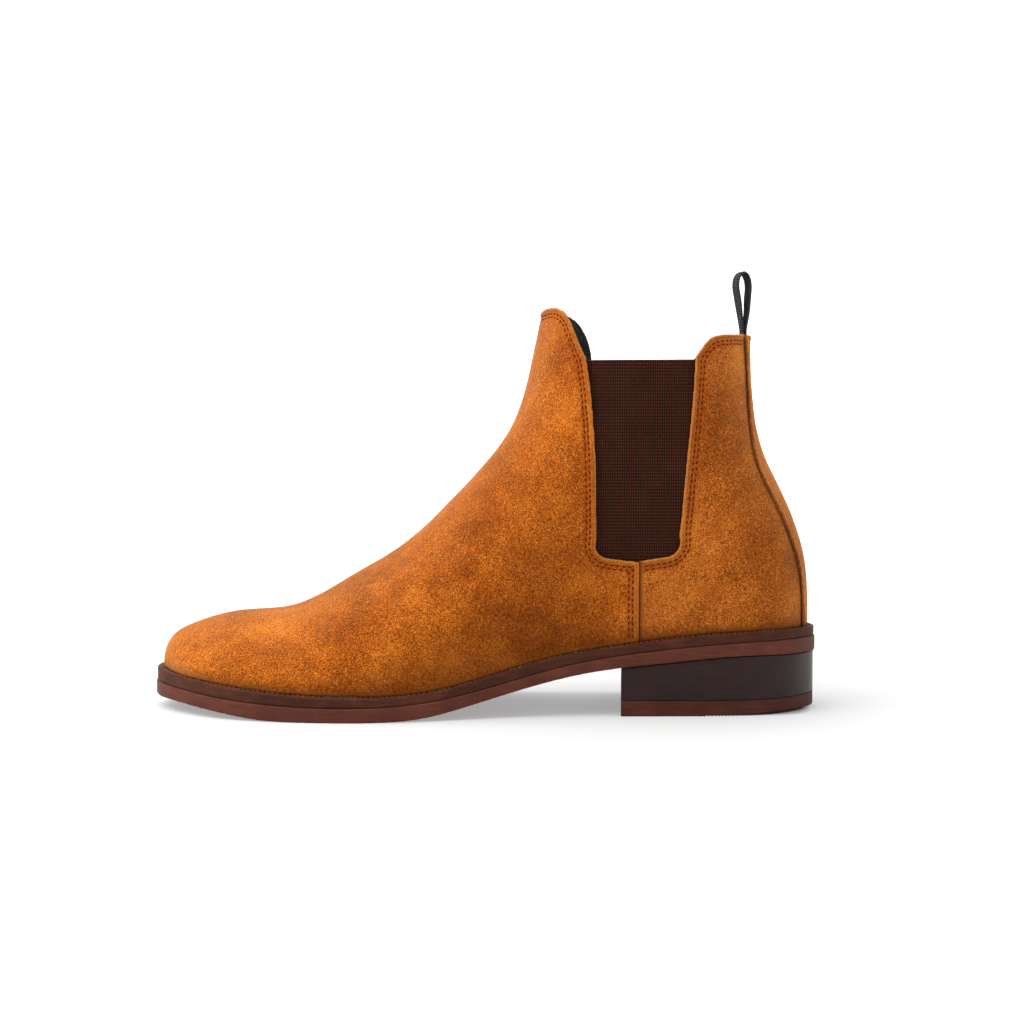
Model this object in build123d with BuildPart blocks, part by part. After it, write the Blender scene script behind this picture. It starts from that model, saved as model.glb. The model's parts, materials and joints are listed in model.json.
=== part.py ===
from build123d import *
import os
from math import cos, pi
import numpy as np

# A left-foot chelsea boot, in millimetres. +X points to the toe, +Y to the outer side, +Z up.
# The origin is on the floor, below the middle of the sole.

# ---------------------------------------------------------------- driving dimensions
HALF_WIDE = 80.0            # more than half the boot's width, for cuts that go right across
REAR_LIMIT = -190.0         # cutters reach from here to FRONT_LIMIT, past both ends of the boot
FRONT_LIMIT = 190.0
BOTTOM_LIMIT = -20.0        # and from here to TOP_LIMIT, past the floor and the tab
TOP_LIMIT = 240.0
LAYER_GAP = 0.1             # glue line between two pieces of the same body
LEATHER = 1.3               # thickness of the suede panels
STAY_PROUD = 0.4            # the back stay's outer face, outside the vamp's
QUARTER_DEPTH = 0.9         # the quarters' outer face, inside the vamp's
SKIVED_DEPTH = 1.4          # the quarters' outer face where the vamp laps over them
GORE_DEPTH = 2.3            # outer face of the elastic, toe puff and heel counter layer
GORE_THICK = 0.8
LINING_DEPTH = 3.2
LINING_THICK = 0.8
GRIP_DEPTH = 4.1            # heel grip, on the inside of the lining
GRIP_THICK = 0.8
FOOT_DEPTH = 5.1            # everything that lies loose on the insole stays inside this
SHAFT_TURN = -5.0           # degrees: the shaft's side panels face slightly forward
PUFF_REAR = 96.0            # where the toe puff ends
PUFF_GAP = 1.0              # and the interlining ends this far behind it
COUNTER_FRONT = -88.0       # where the heel counter begins
COUNTER_TOP = 96.0
LINING_SEAM = -64.0
SEAM_X = -70.9              # side seam between vamp and quarter, along the turned side plane
SEAM_LAP = 8.0
BREAST_X = -63.2            # front face of the heel, along the turned side plane
TOP_PIECE_TOP = 6.8
WELT_RING = 9.0             # width of the welt strip
INSOLE_THICK = 2.4
LINER_THICK = 1.5
PAD_THICK = 2.6
PAD_DEPTH = 7.1             # the heel pad lies this far inside the upper's surface
SHANK_SIZE = (104.0, 12.0, 1.2)
SHANK_CENTRE = -42.0
NAIL_R = 1.1
NAIL_LENGTH = 17.0
NAIL_SUNK = 0.2             # the nails' heads lie this far below the outsole's top
HOLE_RISE = 5.0             # the nail holes are cut from this far above it
HOLE_DEEPER = 0.5           # and go this much deeper than the nails
TAB_X = -116.6              # the pull tab's two strands meet here
TAB_TURN = 14.0             # degrees that the tab is twisted about the vertical
TAB_WIDTH = 8.0
TAB_THICK = 1.1
TAB_OUTER = 6.6             # across both strands
TAB_FOOT = 169.4
TAB_SLIT = 0.3              # gap between the strands just above the stitching
TAB_TOP = 197.0
TAB_BELLY = 190.0           # where the loop is widest
TAB_WAIST = 178.0           # where it is halfway between its foot's width and its belly's
TAB_TAIL = 16.0
TAIL_TOP = 168.0
TAIL_Y = 1.0
PAD_FRONT = -93.0
BACK_SEAM_Y = 1.0           # where the two quarters meet at the back
LINER_PLAY = 0.6            # the sock liner bridges small hollows over the insole
HEEL_SHRINK = 0.2           # the heel stands this far inside the welt's outline
OUTSOLE_PROUD = 0.5         # and the outsole this far outside it
EDGE_BACK = 3.4             # the interlining stops this far short of the panel's edges
BEVEL_FRONT = -118.0        # the worn rear edge of the top piece starts here
BEVEL_RISE = 2.4            # how high that edge's slope has climbed at REAR_LIMIT

# Outline of the upper seen from the side: up the toe, over the instep, up the shaft's front.
CREST = [(146.9, -14), (147.1, 5), (147.1, 20), (144.9, 29), (138, 34.9), (128, 39), (114, 42.2),
         (98, 43.3), (88, 44.8), (76, 49.8), (59.5, 59.5), (41, 70.5), (23, 85.6), (4.6, 104.9),
         (-9.2, 121.8), (-17.4, 140), (-21.5, 157), (-25.2, 175.4), (-28.4, 192)]
# The same up the heel and the back of the shaft.
BACK = [(-145.6, -14), (-146.2, 20), (-146.9, 45), (-146.1, 62), (-142.2, 79), (-134.7, 97.3),
        (-125.9, 116), (-121.4, 138), (-120.0, 160), (-119.6, 186)]
# Ends of the sections that make the upper's shape: on the front outline, and on the base or back.
SECTION_TOPS = [(147.0, 6), (147.1, 17), (146.1, 25), (142.5, 32.2), (136, 36), (127, 39.3),
                (116, 41.9), (103, 43.0), (91, 44.2), (77, 49.3), (62, 58), (46, 67.7), (31, 78.5),
                (18, 90.3), (6, 103.3), (-1.5, 112), (-6, 117.7), (-9.5, 122.2), (-12.5, 128),
                (-15, 133.5), (-17, 138.5), (-18.8, 145), (-20.3, 152), (-22, 160), (-24, 170),
                (-26.5, 182), (-28, 190)]
SECTION_FEET = [(119, -7), (118, -8), (117, -9), (115.5, -10), (114, -11), (111, -12),
                (106, -12), (97, -12), (84, -12), (67, -12), (46, -12), (22, -12), (-4, -12),
                (-34, -11), (-68, -9), (-104, -6), (-134, -3), (-145.8, 4), (-146.4, 32),
                (-146, 55), (-142.9, 77), (-136.4, 94), (-128.4, 110), (-122.6, 130),
                (-120.3, 150), (-119.7, 172), (-119.6, 184)]
BASE_SECTIONS = 17          # the first sections end on the base, the others on the back
DENSE_FROM = 17             # from this section on, one more goes halfway between each two
SECTION_STEPS = 14          # points on each half of a section
SEAM_TURN = 0.004           # radians short of the middle where the two sides' panels stop
FRONT_STOP = 1              # steps short of the foot where a panel over the crest stops
REAR_START = 4              # steps below the crest where a panel round the back starts

# Half widths of the upper by place along the boot, outer and inner side, and its middle line.
OUTER_HALF = [(-150, 29), (-110, 31.5), (-70, 32), (-30, 34.5), (10, 41.5), (45, 48.5), (75, 47.5),
              (105, 41), (130, 31), (150, 23)]
INNER_HALF = [(-150, 29), (-110, 31), (-70, 31), (-30, 28.5), (10, 32.5), (45, 41), (75, 45),
              (105, 40.5), (130, 33), (150, 24)]
MIDDLE = [(-150, 1.5), (-95, 0), (-20, -5), (40, -7), (100, -5), (150, -2)]
SHAFT_HALF = 33.5
SHAFT_BLEND = (45.0, 100.0)  # heights between which the foot's width becomes the shaft's
CREST_ROUND = [(30, 44), (60, 40), (90, 32), (130, 27)]
BACK_ROUND = 36.0
BASE_ROUND = 7.0

# Lines of the bottom seen from the side.
FEATHER = [(-165, 36.0), (-125, 36.8), (-95, 35.2), (-60, 31), (-30, 25.9), (0, 17.6), (25, 12),
           (60, 10.5), (95, 12), (125, 15.3), (165, 19)]
OUTSOLE_TOP = [(-165, 31.6), (-115, 32.3), (-75, 28.8), (-35, 22.3), (0, 13), (25, 8.1), (60, 6.2),
               (95, 7.2), (125, 9.8), (165, 12.8)]
TREAD_REAR = [(-165, 25.4), (-115, 26.5), (-80, 23.6), (-44, 19), (-15, 12), (12, 4.4), (48, 0)]
TREAD_FRONT = [(88, 0), (110, 1.9), (135, 4.8), (165, 6.6)]
# Outline of the welt and the outsole seen from above.
SOLE_OUTER = [(149.8, -1.5), (149.3, 4.5), (146, 13), (136, 25.5), (118, 39.5), (95, 47.8),
              (65, 52.4), (35, 50.3), (5, 43.2), (-30, 37.5), (-70, 35.6), (-105, 34.8),
              (-130, 28.8), (-145, 15), (-149.4, 7), (-150.2, 1.5)]
SOLE_INNER = [(-150.2, 1.5), (-149.4, -4), (-145, -12.5), (-130, -27), (-105, -33.4), (-65, -33.4),
              (-25, -32.8), (10, -37.5), (45, -46.2), (78, -50.2), (108, -45.2), (130, -33.8),
              (145, -16), (149.3, -7.5), (149.8, -1.5)]

# Panel edges on the turned side plane.
TOPLINE = [(-20, 179.3), (-27, 179.6), (-32, 180.3), (-36.8, 178.3), (-40.8, 172), (-44.2, 163.6),
           (-47.2, 157.8)]
INNER_TOPLINE = [(-20, 179.0), (-27, 179.1), (-33, 178.9), (-38.9, 176.6), (-43.2, 171.6), (-46.0, 164.8),
                 (-47.2, 157.8)]
TOPLINE_FRONT = 179.0       # both toplines meet the front edge at this height
REAR_HEIGHT = 168.3         # height of the topline at the back
REAR_TOPLINE = [(-95.2, 158.2), (-97.6, 161.5), (-102, 166.4), (-108, 167.9), (-118, REAR_HEIGHT),
                (-135, REAR_HEIGHT)]
GORE_FRONT = [(-47.2, 157.8), (-50.6, 131), (-51.9, 108), (-52.2, 78)]
GORE_REAR = [(-88.6, 79.5), (-90.6, 101), (-92.6, 122), (-95.2, 158.2)]
GORE_BOTTOM = [(-56.5, 69.6), (-70.9, 68.0), (-84, 70.3)]
GORE_LAP = 7.0
SEAM_TOP = 68.0             # the side seam runs up to here on the vamp
LAP_TOP = 67.0              # and to here on the quarter under it
INTERLINING_REAR = 62.0     # the interlining's rear corner, under the elastic
STAY_EDGE = [(-116.3, 168), (-117.3, 155), (-118.4, 134), (-122.0, 110), (-130.2, 92.5),
             (-138.2, 74.2), (-142.6, 56), (-143.3, 46), (-142.6, 28)]

side_plane = Plane.XZ.rotated((0, 0, SHAFT_TURN))


# ---------------------------------------------------------------- shape of the upper
def smooth(table, place):
    """Value at a place, on a smooth curve through a table of (place, value) pairs."""
    places = np.array([pair[0] for pair in table], dtype=float)
    values = np.array([pair[1] for pair in table], dtype=float)
    slopes = np.gradient(values, places)
    place = min(max(place, places[0]), places[-1])
    index = min(int(np.searchsorted(places, place, side="right")) - 1, len(places) - 2)
    span = places[index + 1] - places[index]
    u = (place - places[index]) / span
    rise = values[index + 1] - values[index]
    start_slope = slopes[index] * span
    end_slope = slopes[index + 1] * span
    bend = (start_slope - rise) * (1 - u) - (end_slope - rise) * u
    return values[index] + rise * u + u * (1 - u) * bend


def sampled(points, count=3000):
    """Many evenly spaced points along the smooth curve through a few."""
    curve = Edge.make_spline([Vector(x, 0, z) for x, z in points])
    places = [curve.position_at(i / count) for i in range(count + 1)]
    return np.array([(place.X, place.Z) for place in places])


def distance_to(line, x, z):
    """Distance from a point to a sampled line."""
    return float(np.min(np.hypot(line[:, 0] - x, line[:, 1] - z)))


def nearest(line, point):
    """The point of a sampled line that is nearest to another point."""
    return line[int(np.argmin(np.hypot(line[:, 0] - point[0], line[:, 1] - point[1])))]


def with_middles(points):
    """The sections' end points, with one more halfway between each two up the back."""
    rear = points[DENSE_FROM:]
    doubled = list(points[:DENSE_FROM + 1])
    for start, end in zip(rear, rear[1:]):
        doubled += [((start[0] + end[0]) / 2, (start[1] + end[1]) / 2), end]
    return doubled


def quarter_round(distance, reach):
    """Height of a quarter circle that starts at 0 and is full at the reach."""
    share = min(max(distance / reach, 0.0), 1.0)
    return (1 - (1 - share) ** 2) ** 0.5


def half_width(table, x, z):
    """Half width of the upper at a place in the side view."""
    low, high = SHAFT_BLEND
    share = min(max((z - low) / (high - low), 0.0), 1.0)
    share = share * share * (3 - 2 * share)
    return smooth(table, x) * (1 - share) + SHAFT_HALF * share


crest_line = sampled(CREST)
back_line = sampled(BACK)
section_tops = [nearest(crest_line, point) for point in with_middles(SECTION_TOPS)]
section_feet = [
    np.array(point, dtype=float) if index < BASE_SECTIONS else nearest(back_line, point)
    for index, point in enumerate(with_middles(SECTION_FEET))
]


def section_edge(top, foot, on_base, turn, side):
    """One point of a section, as its distance along the middle and its place across."""
    length = np.hypot(*(foot - top))
    share = (1 - cos(turn)) / 2
    x, z = top + (foot - top) * share
    fullness = quarter_round(distance_to(crest_line, x, z), smooth(CREST_ROUND, x))
    fullness *= quarter_round(distance_to(back_line, x, z), BACK_ROUND)
    if on_base:
        fullness *= quarter_round(length * (1 - share), BASE_ROUND)
    if turn in (0, pi):
        fullness = 0.0
    middle = smooth(MIDDLE, x)
    table = OUTER_HALF if side > 0 else INNER_HALF
    edge = side * half_width(table, x, z)
    return np.array([length * share, middle + (edge - middle) * fullness])


def section_curve(index, kind):
    """Points of one section's stretch on the upper's surface, in the section's own plane."""
    top = section_tops[index]
    foot = section_feet[index]
    steps = [pi * step / SECTION_STEPS for step in range(SECTION_STEPS + 1)]
    if kind in ("outer", "inner"):
        side = 1 if kind == "outer" else -1
        route = [(turn, side) for turn in steps[:-1]] + [(pi - SEAM_TURN, side)]
    elif kind == "front":
        one_side = steps[1:SECTION_STEPS - FRONT_STOP + 1]
        route = [(turn, 1) for turn in reversed(one_side)] + [(0, 1)] + [(turn, -1) for turn in one_side]
    else:
        one_side = steps[REAR_START:-1]
        route = [(turn, 1) for turn in one_side] + [(pi, 1)] + [(turn, -1) for turn in reversed(one_side)]
    return np.array([section_edge(top, foot, index < BASE_SECTIONS, *place) for place in route])


def moved_in(curve, depth, kind):
    """A section's stretch moved into the boot, along its own normals."""
    along = np.gradient(curve, axis=0)
    if kind in ("outer", "inner"):
        along[0] = [0, 1 if kind == "outer" else -1]
        along[-1] = -along[0]
    along = along / np.hypot(along[:, 0], along[:, 1])[:, None]
    turn = 1 if kind in ("front", "inner") else -1
    normals = np.column_stack([-along[:, 1], along[:, 0]]) * turn
    return curve + normals * depth


def section_plane(index):
    """Plane of one section, with its origin on the front outline and x towards its foot."""
    top = section_tops[index]
    foot = section_feet[index]
    down = (foot - top) / np.hypot(*(foot - top))
    return Plane(
        origin=(top[0], 0, top[1]),
        x_dir=(down[0], 0, down[1]),
        z_dir=(-down[1], 0, down[0]),
    )


def depth_curve(kind, index, depth):
    """A section's stretch at a depth below the surface, as points."""
    return [Vector(*point) for point in moved_in(section_curve(index, kind), depth, kind)]


def through(points):
    """Smooth edge through points, one parameter step from each to the next."""
    return Edge.make_spline(points, parameters=list(range(len(points))))


def layer_section(kind, index, outer_depth, inner_depth):
    """Closed outline of a layer's cut face in one section plane."""
    outside = depth_curve(kind, index, outer_depth)
    inside = depth_curve(kind, index, inner_depth)
    inside.reverse()
    outline = Wire([
        through(outside),
        Edge.make_line(outside[-1], inside[0]),
        through(inside),
        Edge.make_line(inside[-1], outside[0]),
    ])
    return section_plane(index).from_local_coords(outline)


def layer(kind, outer_depth, thickness):
    """Sheet that follows the upper, between two depths below its surface."""
    inner_depth = outer_depth + thickness
    outlines = [layer_section(kind, index, outer_depth, inner_depth) for index in range(len(section_tops))]
    return Solid.make_loft(outlines)


# ---------------------------------------------------------------- regions, as cutters
def side_prism(plane, *lines):
    """Prism right across the boot over an outline in the side view, made of splines and corners."""
    with BuildPart() as prism:
        with BuildSketch(plane):
            with BuildLine():
                for line in lines:
                    if len(line) > 2:
                        Spline(*line)
                    else:
                        Line(*line)
                ends = [(line[-1], lines[(i + 1) % len(lines)][0]) for i, line in enumerate(lines)]
                for start, end in ends:
                    if start != end:
                        Line(start, end)
            make_face()
        extrude(amount=HALF_WIDE, both=True)
    return prism.part


def raised(line, lift):
    """A line of the side view moved up."""
    return [(x, z + lift) for x, z in line]


def band(lower, upper):
    """Prism between two lines of the side view."""
    return side_prism(Plane.XZ, lower, list(reversed(upper)))


def plan_points(shrink):
    """Points of the sole's outline, moved inwards."""
    loop = np.array(SOLE_OUTER[:-1] + SOLE_INNER[:-1])
    along = np.roll(loop, -1, axis=0) - np.roll(loop, 1, axis=0)
    along = along / np.hypot(along[:, 0], along[:, 1])[:, None]
    moved = loop + np.column_stack([-along[:, 1], along[:, 0]]) * shrink
    points = [tuple(point) for point in moved]
    return points + points[:1]


def plan_prism(shrink=0.0):
    """Tall prism over the sole's outline, or inside it."""
    points = plan_points(shrink)
    heel_end = len(SOLE_OUTER)
    with BuildPart() as prism:
        with BuildSketch(Plane.XY.offset(-5)):
            with BuildLine():
                Spline(*points[:heel_end])
                Spline(*points[heel_end - 1:])
            make_face()
        extrude(amount=70)
    return prism.part


os.makedirs("parts", exist_ok=True)


def save(piece, name):
    """Label a finished sub-part and write its STEP file."""
    piece.part.label = name
    export_step(piece.part, f"parts/{name}.step")


ceiling = [(FEATHER[-1][0], TOP_LIMIT), (FEATHER[0][0], TOP_LIMIT)]
above_feather = side_prism(Plane.XZ, raised(FEATHER, LAYER_GAP), ceiling)
insole_top = INSOLE_THICK + LAYER_GAP
above_insole = side_prism(Plane.XZ, raised(FEATHER, insole_top), ceiling)
gore_front_corner = [(-52.2, 78), (-52.4, 72.6), (-56.5, 69.6)]
gore_rear_corner = [(-88.6, 79.5), (-87.8, 73.2), (-84, 70.3)]


def front_outline(topline):
    """Prism over the vamp, below one side's topline."""
    return side_prism(
        side_plane,
        [(FRONT_LIMIT, BOTTOM_LIMIT), (FRONT_LIMIT, TOPLINE_FRONT)],
        [(FRONT_LIMIT, TOPLINE_FRONT), topline[0]],
        topline,
        GORE_FRONT,
        gore_front_corner,
        [gore_front_corner[-1], (SEAM_X, SEAM_TOP)],
        [(SEAM_X, SEAM_TOP), (SEAM_X, BOTTOM_LIMIT)],
    )


def topline_outline(topline):
    """Prism over the whole upper, below one side's topline."""
    return side_prism(
        side_plane,
        [(FRONT_LIMIT, BOTTOM_LIMIT), (FRONT_LIMIT, TOPLINE_FRONT)],
        [(FRONT_LIMIT, TOPLINE_FRONT), topline[0]],
        topline,
        [topline[-1], REAR_TOPLINE[0]],
        REAR_TOPLINE,
        [REAR_TOPLINE[-1], (REAR_LIMIT, REAR_HEIGHT)],
        [(REAR_LIMIT, REAR_HEIGHT), (REAR_LIMIT, BOTTOM_LIMIT)],
    )


def two_sided(outline):
    """One region from the outer side's topline and the inner side's."""
    with BuildPart() as outer:
        add(outline(TOPLINE))
        split(bisect_by=Plane.XZ, keep=Keep.BOTTOM)
    with BuildPart() as both:
        add(outline(INNER_TOPLINE))
        split(bisect_by=Plane.XZ, keep=Keep.TOP)
        add(outer.part)
    return both.part


front_region = two_sided(front_outline)
topline_region = two_sided(topline_outline)
rear_region = side_prism(
    side_plane,
    [(REAR_LIMIT, BOTTOM_LIMIT), (REAR_LIMIT, REAR_HEIGHT)],
    [(REAR_LIMIT, REAR_HEIGHT), REAR_TOPLINE[-1]],
    list(reversed(REAR_TOPLINE)),
    list(reversed(GORE_REAR)),
    gore_rear_corner,
    [gore_rear_corner[-1], (SEAM_X + SEAM_LAP, LAP_TOP)],
    [(SEAM_X + SEAM_LAP, LAP_TOP), (SEAM_X + SEAM_LAP, BOTTOM_LIMIT)],
)
gore_region = side_prism(
    side_plane,
    [(x + GORE_LAP, z) for x, z in GORE_FRONT],
    [(-52.2 + GORE_LAP, 78), (-56.5, 69.6 - GORE_LAP)],
    [(-56.5, 69.6 - GORE_LAP), (-84, 70.3 - GORE_LAP)],
    [(-84, 70.3 - GORE_LAP), (-88.6 - GORE_LAP, 79.5)],
    [(x - GORE_LAP, z) for x, z in GORE_REAR],
    [(-95.2 - GORE_LAP, 158.2), (-47.2 + GORE_LAP, 157.8)],
)
gore_window = side_prism(
    side_plane,
    GORE_FRONT,
    gore_front_corner,
    GORE_BOTTOM,
    list(reversed(gore_rear_corner)),
    GORE_REAR,
    [(-95.2, 158.2), (-95.2, 190)],
    [(-95.2, 190), (-47.2, 190)],
)
lap_region = side_prism(
    side_plane,
    [(SEAM_X - LAYER_GAP, 90), (SEAM_X - LAYER_GAP, BOTTOM_LIMIT)],
    [(20, BOTTOM_LIMIT), (20, 90)],
)
stay_region = side_prism(
    Plane.XZ,
    STAY_EDGE,
    [(REAR_LIMIT, 28), (REAR_LIMIT, STAY_EDGE[0][1])],
    [(REAR_LIMIT, STAY_EDGE[0][1]), STAY_EDGE[0]],
)


def slab(plane, first, last):
    """Everything between two places along the boot, on a side plane."""
    return side_prism(
        plane,
        [(first, BOTTOM_LIMIT), (last, BOTTOM_LIMIT)],
        [(last, TOP_LIMIT), (first, TOP_LIMIT)],
    )


# ---------------------------------------------------------------- outer leather
with BuildPart() as vamp:
    add(layer("front", 0, LEATHER))
    add(above_feather, mode=Mode.INTERSECT)
    add(front_region, mode=Mode.INTERSECT)
save(vamp, "vamp")


def side_of(piece, side):
    """The outer or the inner side's half of a piece, cut a hair short of the middle."""
    with BuildPart() as half:
        add(piece)
        if side == "outer":
            split(bisect_by=Plane.XZ.offset(-BACK_SEAM_Y - LAYER_GAP / 2), keep=Keep.BOTTOM)
        else:
            split(bisect_by=Plane.XZ.offset(-BACK_SEAM_Y + LAYER_GAP / 2), keep=Keep.TOP)
    return half


with BuildPart() as under_vamp:
    add(layer("front", 0, SKIVED_DEPTH))
    add(lap_region, mode=Mode.INTERSECT)

with BuildPart() as quarters:
    add(layer("rear", QUARTER_DEPTH, LEATHER))
    add(above_feather, mode=Mode.INTERSECT)
    add(rear_region, mode=Mode.INTERSECT)
    add(under_vamp.part, mode=Mode.SUBTRACT)

quarter_lateral = side_of(quarters.part, "outer")
save(quarter_lateral, "quarter_lateral")

quarter_medial = side_of(quarters.part, "inner")
save(quarter_medial, "quarter_medial")

with BuildPart() as back_stay:
    add(layer("rear", -STAY_PROUD, QUARTER_DEPTH + STAY_PROUD - LAYER_GAP))
    add(above_feather, mode=Mode.INTERSECT)
    add(stay_region, mode=Mode.INTERSECT)
save(back_stay, "back_stay")


# ---------------------------------------------------------------- elastic panels
with BuildPart() as gores:
    add(layer("front", GORE_DEPTH, GORE_THICK))
    add(gore_region, mode=Mode.INTERSECT)

gore_lateral = side_of(gores.part, "outer")
save(gore_lateral, "gore_lateral")

gore_medial = side_of(gores.part, "inner")
save(gore_medial, "gore_medial")

# ---------------------------------------------------------------- hidden stiffeners
puff_region = slab(Plane.XZ, PUFF_REAR, FRONT_LIMIT)


def set_back(line):
    """A panel edge of the side view moved into the panel."""
    return [(x + EDGE_BACK, z - EDGE_BACK) for x, z in line]


interlining_region = side_prism(
    side_plane,
    [(FRONT_LIMIT, BOTTOM_LIMIT), (FRONT_LIMIT, TOPLINE_FRONT - EDGE_BACK)],
    [(FRONT_LIMIT, TOPLINE_FRONT - EDGE_BACK), set_back(TOPLINE)[0]],
    set_back(TOPLINE),
    set_back(GORE_FRONT),
    [set_back(GORE_FRONT)[-1], (SEAM_X + SEAM_LAP + 1, INTERLINING_REAR)],
    [(SEAM_X + SEAM_LAP + 1, INTERLINING_REAR), (SEAM_X + SEAM_LAP + 1, BOTTOM_LIMIT)],
)

with BuildPart() as toe_puff:
    add(layer("front", LEATHER + LAYER_GAP, LINING_DEPTH - LEATHER - 2 * LAYER_GAP))
    add(above_feather, mode=Mode.INTERSECT)
    add(puff_region, mode=Mode.INTERSECT)
save(toe_puff, "toe_puff")

with BuildPart() as vamp_interlining:
    add(layer("front", LEATHER + LAYER_GAP, GORE_DEPTH - LEATHER - 2 * LAYER_GAP))
    add(above_feather, mode=Mode.INTERSECT)
    add(interlining_region, mode=Mode.INTERSECT)
    add(slab(Plane.XZ, REAR_LIMIT, PUFF_REAR - PUFF_GAP), mode=Mode.INTERSECT)
save(vamp_interlining, "vamp_interlining")

with BuildPart() as heel_counter:
    add(layer("rear", GORE_DEPTH, GORE_THICK))
    add(above_feather, mode=Mode.INTERSECT)
    with BuildSketch(Plane.XZ):
        with BuildLine():
            Polyline((REAR_LIMIT, 20), (COUNTER_FRONT, 20), (COUNTER_FRONT, 45), close=False)
            Spline((COUNTER_FRONT, 45), (COUNTER_FRONT - 9, 70), (-118, 88), (-140, COUNTER_TOP))
            Polyline((-140, COUNTER_TOP), (REAR_LIMIT, COUNTER_TOP), (REAR_LIMIT, 20))
        make_face()
    extrude(amount=HALF_WIDE, both=True, mode=Mode.INTERSECT)
save(heel_counter, "heel_counter")

# ---------------------------------------------------------------- linings
with BuildPart() as vamp_lining:
    add(layer("front", LINING_DEPTH, LINING_THICK))
    add(above_feather, mode=Mode.INTERSECT)
    add(topline_region, mode=Mode.INTERSECT)
    add(slab(side_plane, LINING_SEAM, FRONT_LIMIT), mode=Mode.INTERSECT)
    add(gore_window, mode=Mode.SUBTRACT)
save(vamp_lining, "vamp_lining")


with BuildPart() as quarter_linings:
    add(layer("rear", LINING_DEPTH, LINING_THICK))
    add(above_feather, mode=Mode.INTERSECT)
    add(topline_region, mode=Mode.INTERSECT)
    add(slab(side_plane, REAR_LIMIT, LINING_SEAM - LAYER_GAP), mode=Mode.INTERSECT)
    add(gore_window, mode=Mode.SUBTRACT)

quarter_lining_lateral = side_of(quarter_linings.part, "outer")
save(quarter_lining_lateral, "quarter_lining_lateral")

quarter_lining_medial = side_of(quarter_linings.part, "inner")
save(quarter_lining_medial, "quarter_lining_medial")

with BuildPart() as heel_grip:
    add(layer("rear", GRIP_DEPTH, GRIP_THICK))
    add(above_insole, mode=Mode.INTERSECT)
    with BuildSketch(Plane.XZ):
        with BuildLine():
            Polyline((REAR_LIMIT, 20), (-104, 20), (-104, 60))
            Spline((-104, 60), (-109, 90), (-112, 118), (-124, 128))
            Polyline((-124, 128), (REAR_LIMIT, 128), (REAR_LIMIT, 20))
        make_face()
    extrude(amount=HALF_WIDE, both=True, mode=Mode.INTERSECT)
save(heel_grip, "heel_grip")

# ---------------------------------------------------------------- what lies inside
def filled_section(index, depth):
    """Closed outline of the boot's inside in one section plane."""
    outer_side = depth_curve("outer", index, depth)
    inner_side = depth_curve("inner", index, depth)
    inner_side.reverse()
    outline = Wire([
        through(outer_side),
        Edge.make_line(outer_side[-1], inner_side[0]),
        through(inner_side),
    ])
    return section_plane(index).from_local_coords(outline)


def inside_of(depth):
    """Solid that fills the boot's inside, up to a depth below the upper's surface."""
    return Solid.make_loft([filled_section(index, depth) for index in range(len(section_tops))])


liner_lift = [PAD_THICK + LINER_PLAY if x < PAD_FRONT else LINER_PLAY for x, z in FEATHER]
liner_base = [(x, z + insole_top + lift) for (x, z), lift in zip(FEATHER, liner_lift)]
shank_rear = SHANK_CENTRE - SHANK_SIZE[0] / 2
shank_front = SHANK_CENTRE + SHANK_SIZE[0] / 2

with BuildPart() as insole_board:
    add(inside_of(LINING_DEPTH + LINING_THICK + LAYER_GAP))
    add(band(raised(FEATHER, LAYER_GAP), raised(FEATHER, INSOLE_THICK)), mode=Mode.INTERSECT)
save(insole_board, "insole_board")

with BuildPart() as sock_liner:
    add(inside_of(FOOT_DEPTH))
    add(band(liner_base, raised(liner_base, LINER_THICK)), mode=Mode.INTERSECT)
save(sock_liner, "sock_liner")

with BuildPart() as heel_pad:
    add(inside_of(PAD_DEPTH))
    add(band(raised(FEATHER, insole_top), raised(FEATHER, insole_top + PAD_THICK)), mode=Mode.INTERSECT)
    add(slab(Plane.XZ, REAR_LIMIT, PAD_FRONT), mode=Mode.INTERSECT)
save(heel_pad, "heel_pad")

# ---------------------------------------------------------------- bottom
with BuildPart() as welt:
    add(plan_prism())
    add(plan_prism(WELT_RING), mode=Mode.SUBTRACT)
    add(band(raised(OUTSOLE_TOP, LAYER_GAP), FEATHER), mode=Mode.INTERSECT)
save(welt, "welt")

with BuildPart() as shank_space:
    add(band(raised(FEATHER, -SHANK_SIZE[2] - LAYER_GAP), raised(FEATHER, 5)))
    add(slab(Plane.XZ, shank_rear, shank_front), mode=Mode.INTERSECT)
    with BuildSketch(Plane.XY):
        with Locations((SHANK_CENTRE, 0)):
            SlotOverall(SHANK_SIZE[0], SHANK_SIZE[1])
    extrude(amount=70, mode=Mode.INTERSECT)

with BuildPart() as steel_shank:
    add(band(raised(FEATHER, -SHANK_SIZE[2]), FEATHER))
    with BuildSketch(Plane.XY):
        with Locations((SHANK_CENTRE, 0)):
            SlotOverall(SHANK_SIZE[0] - 1, SHANK_SIZE[1] - 1)
    extrude(amount=70, mode=Mode.INTERSECT)
save(steel_shank, "steel_shank")

with BuildPart() as cork_filler:
    add(plan_prism(WELT_RING + LAYER_GAP))
    add(band(raised(OUTSOLE_TOP, LAYER_GAP), FEATHER), mode=Mode.INTERSECT)
    add(shank_space.part, mode=Mode.SUBTRACT)
save(cork_filler, "cork_filler")


def nail_places():
    """Centres of the heel nails, in an arc round the heel."""
    return [(-128, 0), (-118, 15), (-118, -14), (-98, 19), (-98, -18), (-78, 18), (-78, -17)]


def nails(radius, top, length):
    """Straight nails down through the outsole into the heel, each at its own height."""
    with BuildPart() as group:
        for x, y in nail_places():
            with BuildSketch(Plane.XY.offset(smooth(OUTSOLE_TOP, x) + top - length)):
                with Locations((x, y)):
                    Circle(radius)
            extrude(amount=length)
    return group


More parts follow.
